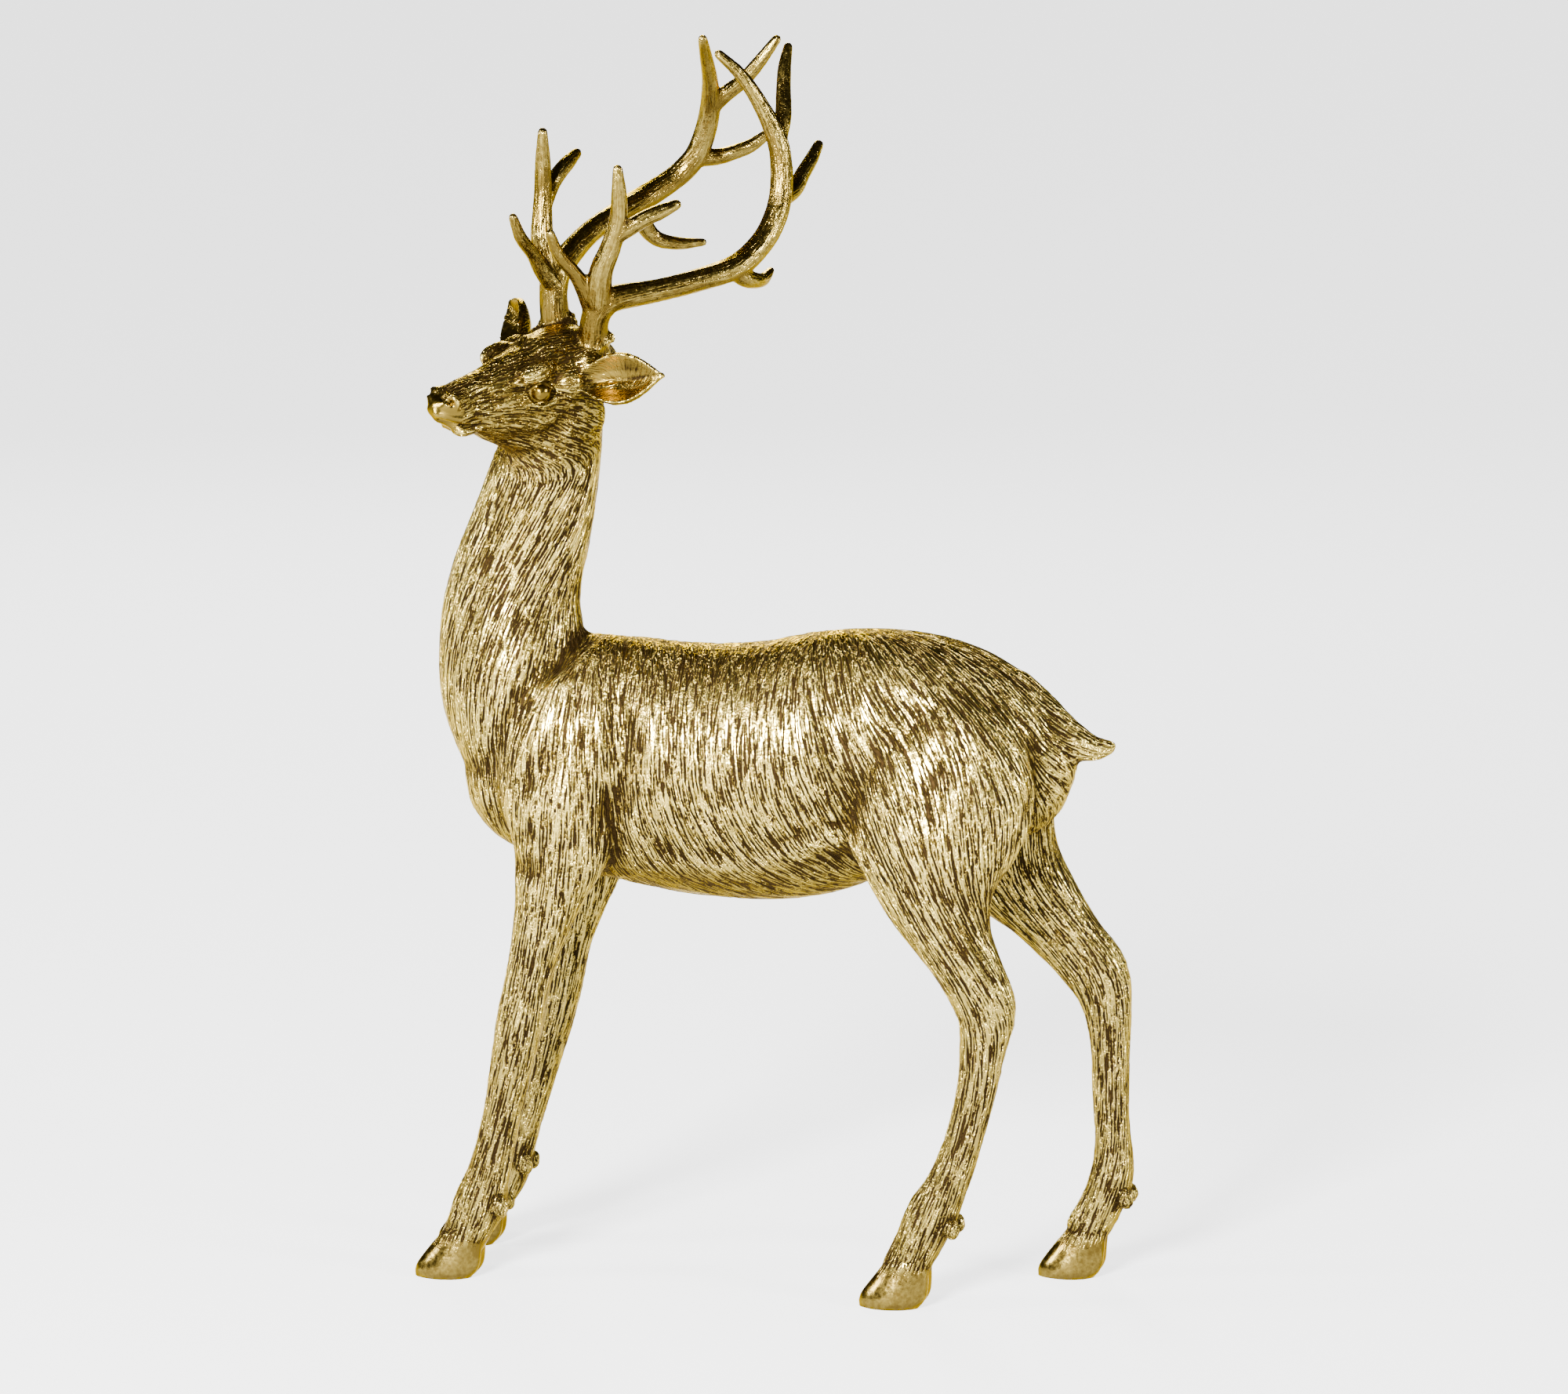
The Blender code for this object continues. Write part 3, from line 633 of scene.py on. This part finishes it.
def read_points(body):
    count = len(body.data.vertices)
    points = np.empty(count * 3, np.float32)
    normals = np.empty(count * 3, np.float32)
    body.data.vertices.foreach_get("co", points)
    body.data.vertex_normals.foreach_get("vector", normals)
    return points.reshape(-1, 3).astype(float) / MM, normals.reshape(-1, 3).astype(float)


def write_points(body, points):
    body.data.vertices.foreach_set("co", (points * MM).astype(np.float32).ravel())
    body.data.update()


def stroke(points, normals, planar, path, radius, depth):
    """Presses points in along their normals, within radius of path. Planar holds them seen from the side."""
    path = spline(path, 3)
    near = np.all((planar > path.min(0) - radius) & (planar < path.max(0) + radius), axis=1)
    near &= np.abs(normals).sum(1) > 0
    seen = planar[near]
    nearest = np.full(len(seen), np.inf)
    place = np.zeros(len(seen))
    for i, (start, end) in enumerate(zip(path, path[1:])):
        run = end - start
        t = np.clip((seen - start) @ run / (run @ run), 0, 1)
        away = np.linalg.norm(seen - start - t[:, None] * run, axis=1)
        place = np.where(away < nearest, (i + t) / (len(path) - 1), place)
        nearest = np.minimum(nearest, away)
    weight = np.clip(1 - (nearest / radius) ** 2, 0, None) ** 2
    fade = np.clip(STROKE_FADE * np.minimum(place, 1 - place) + STROKE_END, 0, 1)
    points[near] -= normals[near] * (weight * fade * depth)[:, None]


def carve(body):
    """Works the muscle lines of the body and the features of the face into the form."""
    points, normals = read_points(body)
    flank = np.clip(SIDE_BLEND * np.abs(normals[:, 1]), 0, 1)[:, None] * (points[:, 2] < THROAT)[:, None]
    for radius, depth, path in BODY_STROKES:
        stroke(points, normals * flank, points[:, [0, 2]], path, radius, depth)
    local = (points - POLL) @ HEAD.T
    aside, front, top = FACE_BOUNDS
    of_head = (np.abs(local[:, 1]) < aside) & (local[:, 0] > front) & (local[:, 2] < top)
    cheek = np.clip(SIDE_BLEND * np.abs(normals @ HEAD[1]), 0, 1)
    plainer = np.where(local[:, 1] > 0, 1.0, FAR_SIDE)
    for radius, depth, path in FACE_STROKES:
        stroke(points, normals * (cheek * plainer * of_head)[:, None], local[:, [0, 2]], path, radius, depth)
    along = np.array((math.cos(EYE_SLANT), math.sin(EYE_SLANT)))
    over = np.array((-along[1], along[0]))
    for long, high, radius, depth in LIDS:
        turns = np.linspace(0, 2 * math.pi, LID_STEPS)[:, None]
        ring = np.array((EYE[0], EYE[2])) + long * np.cos(turns) * along + high * np.sin(turns) * over
        stroke(points, normals * (cheek * of_head)[:, None], local[:, [0, 2]], ring, radius, depth)
    write_points(body, points)


def face_share(points):
    """1 on the head, fading to 0 on the neck."""
    local = (points - POLL) @ HEAD.T
    ahead = np.clip((local[:, 0] - FACE_FROM) / FACE_BLEND, 0, 1)
    return ahead * np.clip((local[:, 2] - FACE_ABOVE) / FACE_BLEND, 0, 1)


def lie_of_coat(points, normals):
    """Which way the hair runs at each point, along the surface."""
    ways = np.zeros_like(points)
    for x, z, dx, dz in COAT:
        away = (points[:, 0] - x) ** 2 + (points[:, 2] - z) ** 2
        weight = np.exp(-away / (2 * COAT_SPREAD**2)) + 1e-12
        ways += weight[:, None] * unit(np.array((dx, 0, dz)))
    local = (points - POLL) @ HEAD.T
    hand = np.where(local[:, 1] < 0, -1.0, 1.0)
    face_ways = np.zeros_like(points)
    for forward, across, up, df, da, du in FACE_COAT:
        away = (local[:, 0] - forward) ** 2 + (hand * local[:, 1] - across) ** 2 + (local[:, 2] - up) ** 2
        weight = np.exp(-away / (2 * FACE_SPREAD**2)) + 1e-12
        face_ways += weight[:, None] * unit(np.array((df, da, du)))
    face_ways[:, 1] *= hand
    of_face = face_share(points)[:, None]
    ways = unit(ways) * (1 - of_face) + unit(face_ways) @ HEAD * of_face
    away, horn_ways = horn_at(points)
    horn = np.clip(1 - (away - HORN_EDGE), 0, 1)[:, None]
    ways = unit(ways) * (1 - horn) + horn_ways * horn
    return unit(ways - normals * np.sum(ways * normals, axis=1, keepdims=True))


def horn_at(points):
    """How far each point is outside the antlers, and the way that the nearest one runs there."""
    nearest = np.full(len(points), np.inf)
    ways = np.tile((0.0, 0.0, 1.0), (len(points), 1))
    upper = np.flatnonzero(points[:, 2] > ANTLERS_ABOVE)
    high = points[upper]
    for hand in (1, -1):
        for rows in (BEAM[1:], *TINES):
            path = spline(on_antler(rows, hand), 2)
            for start, end in zip(path, path[1:]):
                run = end[:3] - start[:3]
                t = np.clip((high - start[:3]) @ run / (run @ run), 0, 1)
                away = np.linalg.norm(high - start[:3] - t[:, None] * run, axis=1)
                away -= start[3] + t * (end[3] - start[3])
                closer = away < nearest[upper]
                nearest[upper[closer]] = away[closer]
                ways[upper[closer]] = run / np.linalg.norm(run)
    return nearest, ways


def horn_share(points):
    """1 on the antlers, fading to 0 round them."""
    return np.clip(1 - (horn_at(points)[0] - HORN_EDGE), 0, 1)


def bare(points):
    """Where there is no hair: 1 on the hooves, the antlers, the nose and the eyes, and 0 elsewhere."""
    found = np.maximum(horn_share(points), np.clip((HOOF_TOP - points[:, 2]) / HOOF_BLEND, 0, 1))
    local = (points - POLL) @ HEAD.T
    local[:, 1] = np.abs(local[:, 1])
    eye = np.linalg.norm(local - np.array(EYE), axis=1)
    found = np.maximum(found, np.clip(1 - (eye - EYE_DIAMETER / 2 - EYE_RIM) / EYE_BLEND, 0, 1))
    ahead = local[:, 0] - MUZZLE_FROM - MUZZLE_SLOPE * np.abs(local[:, 2] - MUZZLE_MIDDLE)
    muzzle = np.clip(ahead / MUZZLE_BLEND, 0, 1) * face_share(points)
    return np.maximum(np.maximum(found, muzzle), EAR_BARE * ear_share(points))


def ear_share(points):
    """1 on the ears, fading out round them."""
    local = (points - POLL) @ HEAD.T
    found = np.zeros(len(points))
    for hand in (1, -1):
        root = np.array(EAR_ROOTS[hand]) * (1, hand, 1)
        way = unit(np.array(EAR_TIP_WAY) * (1, hand, 1))
        along = (local - root) @ way
        away = np.linalg.norm(local - root - along[:, None] * way, axis=1)
        share = np.clip((along + 1) / 4, 0, 1) * np.clip((EAR_WIDTH * EAR_REACH - away) / 2, 0, 1)
        found = np.maximum(found, share)
    return found


def value_noise(points, cell, lattice):
    """Random values at the corners of cells of this size, eased between them."""
    place = points / cell
    low = np.floor(place).astype(int)
    part = place - low
    part = part * part * (3 - 2 * part)
    total = np.zeros(len(points))
    for corner in itertools.product((0, 1), repeat=3):
        index = (low + corner) % len(lattice)
        share = np.prod(np.where(corner, part, 1 - part), axis=1)
        total += share * lattice[index[:, 0], index[:, 1], index[:, 2]]
    return total


def comb(body):
    """Cuts the strokes of the coat, each along the lie of the hair."""
    points, normals = read_points(body)
    ways = lie_of_coat(points, normals)
    lattice = np.random.default_rng(SEED).random((LATTICE, LATTICE, LATTICE))

    def cuts(where, cell, reach):
        reaches = np.linspace(-reach, reach, STROKE_SAMPLES)
        found = sum(value_noise(points[where] + step * ways[where], cell, lattice) for step in reaches)
        return (found - found.mean()) / found.std()

    strokes = cuts(slice(None), STROKE_CELL, STROKE_REACH)
    short = face_share(points)
    face = np.flatnonzero(short > 0)
    strokes[face] += short[face] * (FACE_DEPTH * cuts(face, FACE_CELL, FACE_REACH) - strokes[face])
    strength = (1 - bare(points)) * STROKE_DEPTH
    points += normals * (strength * np.tanh(strokes))[:, None]
    write_points(body, points)


def thinned(body):
    """Brings the mesh down to its count of triangles, sparing the head."""
    deselect()
    bpy.context.view_layer.objects.active = body
    rest = body.vertex_groups.new(name="rest")
    rest.add(np.flatnonzero(face_share(read_points(body)[0]) < 0.5).tolist(), 1.0, "REPLACE")
    thin = body.modifiers.new("Thin", "DECIMATE")
    thin.vertex_group = "rest"
    thin.use_collapse_triangulate = True
    thin.ratio = TRIANGLES / sum(len(face.vertices) - 2 for face in body.data.polygons)
    bpy.ops.object.modifier_apply(modifier="Thin")
    body.vertex_groups.clear()


def cut_soles(body):
    """Cuts everything below the floor away and closes the soles flat."""
    deselect()
    bpy.context.view_layer.objects.active = body
    bpy.ops.object.mode_set(mode="EDIT")
    bpy.ops.mesh.select_all(action="SELECT")
    bpy.ops.mesh.bisect(plane_co=(0, 0, 0), plane_no=(0, 0, 1), use_fill=True, clear_inner=True)
    bpy.ops.mesh.select_all(action="SELECT")
    bpy.ops.mesh.quads_convert_to_tris()
    bpy.ops.object.mode_set(mode="OBJECT")


def evened(body, values, rounds):
    """The values at the points, each made the mean of its neighbours' this many times."""
    edges = np.empty(len(body.data.edges) * 2, np.int32)
    body.data.edges.foreach_get("vertices", edges)
    one, two = edges.reshape(-1, 2).T
    count = len(values)
    number = np.maximum(np.bincount(one, minlength=count) + np.bincount(two, minlength=count), 1)[:, None]
    values = values.copy()
    for _ in range(rounds):
        total = [
            np.bincount(one, column[two], count) + np.bincount(two, column[one], count)
            for column in values.T
        ]
        values = np.column_stack(total) / number
    return values


def hollows(body, points, normals):
    """How deep each point lies below what is round it, near by and further off."""
    near = evened(body, points, NEAR_ROUNDS)
    far = evened(body, near, FAR_ROUNDS)
    deep = [np.sum((smooth - points) * normals, axis=1) for smooth in (near, far)]
    return np.clip(0.5 + 0.9 * deep[0] + 0.22 * deep[1], 0, 1)


def painted_shade_and_tone(body, points, normals):
    """Painted shade where the leaf faces up, on the back, and where it faces down, underneath; it is also
    darker towards the bottom, down the legs, and on the antlers. The head is lighter.
    """
    rise = unit(evened(body, normals, 12))[:, 2]
    # painted shade: darker where the evened normal faces up or down, then darker towards the bottom and on
    # the antlers
    dark = 0.9 * np.clip((rise - 0.25) / 0.55, 0, 1) + 0.7 * np.clip((-rise - 0.3) / 0.5, 0, 1)
    dark += 0.65 * np.clip((170 - points[:, 2]) / 100, 0, 1)
    dark += 0.5 * horn_share(points) - 0.1 * face_share(points)
    return np.clip(dark, 0, 1)


def mark(body, name, kind, values):
    body.data.attributes.new(name, kind, "POINT")
    field = "vector" if kind == "FLOAT_VECTOR" else "value"
    body.data.attributes[name].data.foreach_set(field, np.asarray(values, np.float32).ravel())


class Nodes:
    """Adds nodes to a material and joins them, so that a finish reads as a list of its layers."""

    def __init__(self, material):
        material.use_nodes = True
        self.tree = material.node_tree
        self.shader = self.tree.nodes["Principled BSDF"]

    def join(self, value, socket):
        if isinstance(value, bpy.types.NodeSocket):
            self.tree.links.new(value, socket)
        else:
            socket.default_value = value

    def math(self, operation, *values):
        node = self.tree.nodes.new("ShaderNodeMath")
        node.operation = operation
        for value, socket in zip(values, node.inputs):
            self.join(value, socket)
        return node.outputs[0]

    def plus(self, one, two):
        return self.math("ADD", one, two)

    def minus(self, one, two):
        return self.math("SUBTRACT", one, two)

    def times(self, one, two):
        return self.math("MULTIPLY", one, two)

    def vector(self, operation, *values, scale=None):
        node = self.tree.nodes.new("ShaderNodeVectorMath")
        node.operation = operation
        for value, socket in zip(values, node.inputs):
            self.join(value, socket)
        if scale is not None:
            self.join(scale, node.inputs["Scale"])
        return node.outputs[0]

    def noise(self, vector, scale, detail=0.0, roughness=0.5):
        node = self.tree.nodes.new("ShaderNodeTexNoise")
        self.join(vector, node.inputs["Vector"])
        node.inputs["Scale"].default_value = scale
        node.inputs["Detail"].default_value = detail
        node.inputs["Roughness"].default_value = roughness
        return node.outputs["Fac"]

    def ramp(self, value, low, high):
        node = self.tree.nodes.new("ShaderNodeMapRange")
        self.join(value, node.inputs["Value"])
        node.inputs["From Min"].default_value = low
        node.inputs["From Max"].default_value = high
        return node.outputs["Result"]

    def mix(self, share, one, two):
        node = self.tree.nodes.new("ShaderNodeMix")
        node.data_type = "RGBA"
        self.join(share, node.inputs["Factor"])
        self.join(one, node.inputs[6])  # 6 and 7 are its pair of colours, and 2 is their mix
        self.join(two, node.inputs[7])
        return node.outputs[2]

    def attribute(self, name, output):
        node = self.tree.nodes.new("ShaderNodeAttribute")
        node.attribute_name = name
        return node.outputs[output]


def leaf_with_painted_light():
    """Crinkled gold leaf over carved hair, with a painted highlight on the ridges, painted shade where it
    faces up or down, darker towards the bottom and on the antlers, and dark wax left in the cuts.
    """
    material = bpy.data.materials.new("antiqued gold leaf with painted light")
    build = Nodes(material)
    place = build.tree.nodes.new("ShaderNodeTexCoord").outputs["Object"]
    way = build.attribute("lie", "Vector")
    coat = build.attribute("coat", "Fac")
    horn = build.attribute("horn", "Fac")
    hollow = build.attribute("hollow", "Fac")
    dark = build.attribute("painted_shade_and_tone", "Fac")

    hair = None
    for reach in range(-HAIR_SAMPLES, HAIR_SAMPLES + 1):
        moved = build.vector("ADD", place, build.vector("SCALE", way, scale=reach * HAIR_STEP * MM))
        sample = build.noise(moved, HAIR_SCALE)
        hair = sample if hair is None else build.plus(hair, sample)
    middle = HAIR_SAMPLES + 0.5
    hair = build.ramp(hair, middle - 0.56, middle + 0.40)
    crinkle = build.noise(place, CRINKLE_SCALE, 2.0, 0.55)
    patches = build.noise(place, PATCH_SCALE, 2.0)
    streaked = build.plus(coat, build.times(horn, 0.22))

    cuts = build.times(build.minus(1.0, hair), streaked)
    depth = build.plus(build.times(cuts, 0.75), build.times(hollow, 0.75))
    depth = build.plus(depth, build.times(build.minus(patches, 0.5), 0.35))
    # Dark wax in the cuts and hollows, a little deeper where the painted shade falls
    wax = build.ramp(build.plus(depth, build.times(dark, 0.12)), 0.60, 0.82)

    # Painted highlight: a much lighter gold on the ridges of the hair and on the crinkles, less in the
    # hollows
    ridge = build.plus(build.times(build.times(hair, streaked), 0.5), 0.7)
    ridge = build.plus(build.minus(ridge, build.times(hollow, 0.7)), build.times(crinkle, 0.4))
    gold = build.mix(build.ramp(patches, 0.35, 0.65), DEEP_GOLD, RICH_GOLD)
    bright = build.mix(build.ramp(ridge, 0.82, 1.18), gold, HIGHLIGHT_GOLD)
    # Painted shade: the leaf turns darker where it faces up or down, towards the bottom and on the antlers,
    # and a little lighter on the head
    shaded_and_toned = build.mix(build.times(dark, 0.8), bright, SHADE_AND_TONE_GOLD)
    build.join(build.mix(wax, shaded_and_toned, WAX), build.shader.inputs["Base Color"])
    build.join(build.minus(1.0, build.times(wax, 0.2)), build.shader.inputs["Metallic"])
    rough = build.plus(build.times(crinkle, 0.25), 0.10)
    build.join(build.plus(rough, build.times(wax, 0.3)), build.shader.inputs["Roughness"])
    build.shader.inputs["Specular IOR Level"].default_value = 0.15
    build.shader.inputs["Specular Tint"].default_value = EDGE_TINT

    gritty = build.plus(0.12, build.times(coat, 0.33))
    bump = build.tree.nodes.new("ShaderNodeBump")
    bump.inputs["Strength"].default_value = 1.0
    bump.inputs["Distance"].default_value = RELIEF * MM
    build.join(build.plus(build.times(hair, streaked), build.times(crinkle, gritty)), bump.inputs["Height"])
    build.join(bump.outputs["Normal"], build.shader.inputs["Normal"])
    return material


def reindeer():
    """The whole figure, carved, gilded and stood on its feet."""
    masses = [limb(TORSO, sides=36), limb(NECK, sides=32), limb(TAIL)]
    masses.append(limb([(*on_head(row[:3]), *row[3:]) for row in SKULL], HEAD[1], sides=32))
    masses += legs()
    masses += [
        ball(on_head((forward, across, up), hand), radii, HEAD, subdivisions=3)
        for forward, across, up, *radii in FACE_FORMS
        for hand in (1, -1)
    ]
    body = fused(masses, MASS_GRAIN, MASS_SMOOTHING)
    details = hooves() + dewclaws() + ears() + antlers()
    details += [ball(on_head(EYE, hand), [EYE_DIAMETER / 2] * 3) for hand in (1, -1)]
    body = fused([body] + details, DETAIL_GRAIN, DETAIL_SMOOTHING)
    carve(body)
    comb(body)
    thinned(body)
    cut_soles(body)
    points, normals = read_points(body)
    length = 1 - 0.5 * face_share(points)[:, None]
    mark(body, "lie", "FLOAT_VECTOR", lie_of_coat(points, normals) * length)
    mark(body, "coat", "FLOAT", (1 - bare(points)) * (1 - 0.3 * face_share(points)))
    mark(body, "horn", "FLOAT", horn_share(points))
    mark(body, "hollow", "FLOAT", hollows(body, points, normals))
    # painted shade where the form faces up or down, with darkening towards the bottom and on the antlers
    mark(body, "painted_shade_and_tone", "FLOAT", painted_shade_and_tone(body, points, normals))
    low, high = points.min(0), points.max(0)
    body.data.transform(Matrix.Translation((-(low[0] + high[0]) / 2 * MM, -(low[1] + high[1]) / 2 * MM, 0)))
    body.name = "gilded_reindeer"
    body.data.name = "gilded_reindeer"
    body.data.materials.clear()
    # the leaf carries a painted highlight on the ridges and painted shade where it faces up or down
    body.data.materials.append(leaf_with_painted_light())
    body.data.shade_smooth()
    return body


def studio():
    """A pale floor that runs on behind the figure, and soft lights."""
    deselect()
    bpy.ops.mesh.primitive_plane_add(size=FLOOR_SIZE)
    floor = bpy.context.object
    floor.name = "pale_floor"
    material = bpy.data.materials.new("pale floor")
    material.use_nodes = True
    shader = material.node_tree.nodes["Principled BSDF"]
    shader.inputs["Base Color"].default_value = (FLOOR_SHADE, FLOOR_SHADE, FLOOR_SHADE, 1)
    shader.inputs["Roughness"].default_value = FLOOR_ROUGHNESS
    shader.inputs["Emission Color"].default_value = (1, 1, 1, 1)
    shader.inputs["Emission Strength"].default_value = FLOOR_GLOW
    floor.data.materials.append(material)
    world = bpy.data.worlds.new("studio")
    bpy.context.scene.world = world
    world.use_nodes = True
    sky = world.node_tree.nodes["Background"]
    sky.inputs["Color"].default_value = (1, 1, 1, 1)
    sky.inputs["Strength"].default_value = SKY_GLOW
    for name, place, size, watts in LAMPS:
        lamp = bpy.data.lights.new(name, "AREA")
        lamp.size = size
        lamp.energy = watts
        stand = bpy.data.objects.new(name, lamp)
        bpy.context.collection.objects.link(stand)
        stand.location = place
        way = Vector((0, 0, LAMPS_AIM)) - Vector(place)
        stand.rotation_euler = way.to_track_quat("-Z", "Y").to_euler()


def camera():
    """Level with the antlers, a little to the figure's rear, and looking down on it."""
    data = bpy.data.cameras.new("camera")
    data.lens = LENS
    data.sensor_width = SENSOR
    data.clip_end = CAMERA_REACH
    holder = bpy.data.objects.new("camera", data)
    bpy.context.collection.objects.link(holder)
    middle = Vector((RAW_SHIFT[0] * MM, RAW_SHIFT[1] * MM, 0))
    aside, back = CAMERA_AWAY * math.sin(CAMERA_ROUND), -CAMERA_AWAY * math.cos(CAMERA_ROUND)
    holder.location = middle + Vector((aside, back, CAMERA_HEIGHT))
    way = middle + Vector((0, 0, CAMERA_AIM)) - holder.location
    holder.rotation_euler = way.to_track_quat("-Z", "Y").to_euler()
    bpy.context.scene.camera = holder


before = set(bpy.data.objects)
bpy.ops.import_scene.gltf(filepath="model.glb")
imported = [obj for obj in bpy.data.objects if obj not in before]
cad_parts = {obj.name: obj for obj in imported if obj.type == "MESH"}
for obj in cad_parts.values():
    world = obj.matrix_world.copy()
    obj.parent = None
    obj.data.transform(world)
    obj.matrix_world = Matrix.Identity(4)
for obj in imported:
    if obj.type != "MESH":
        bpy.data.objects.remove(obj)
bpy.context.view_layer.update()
figure = reindeer()
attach(figure, "root")
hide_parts("reindeer")
studio()
camera()
deselect()
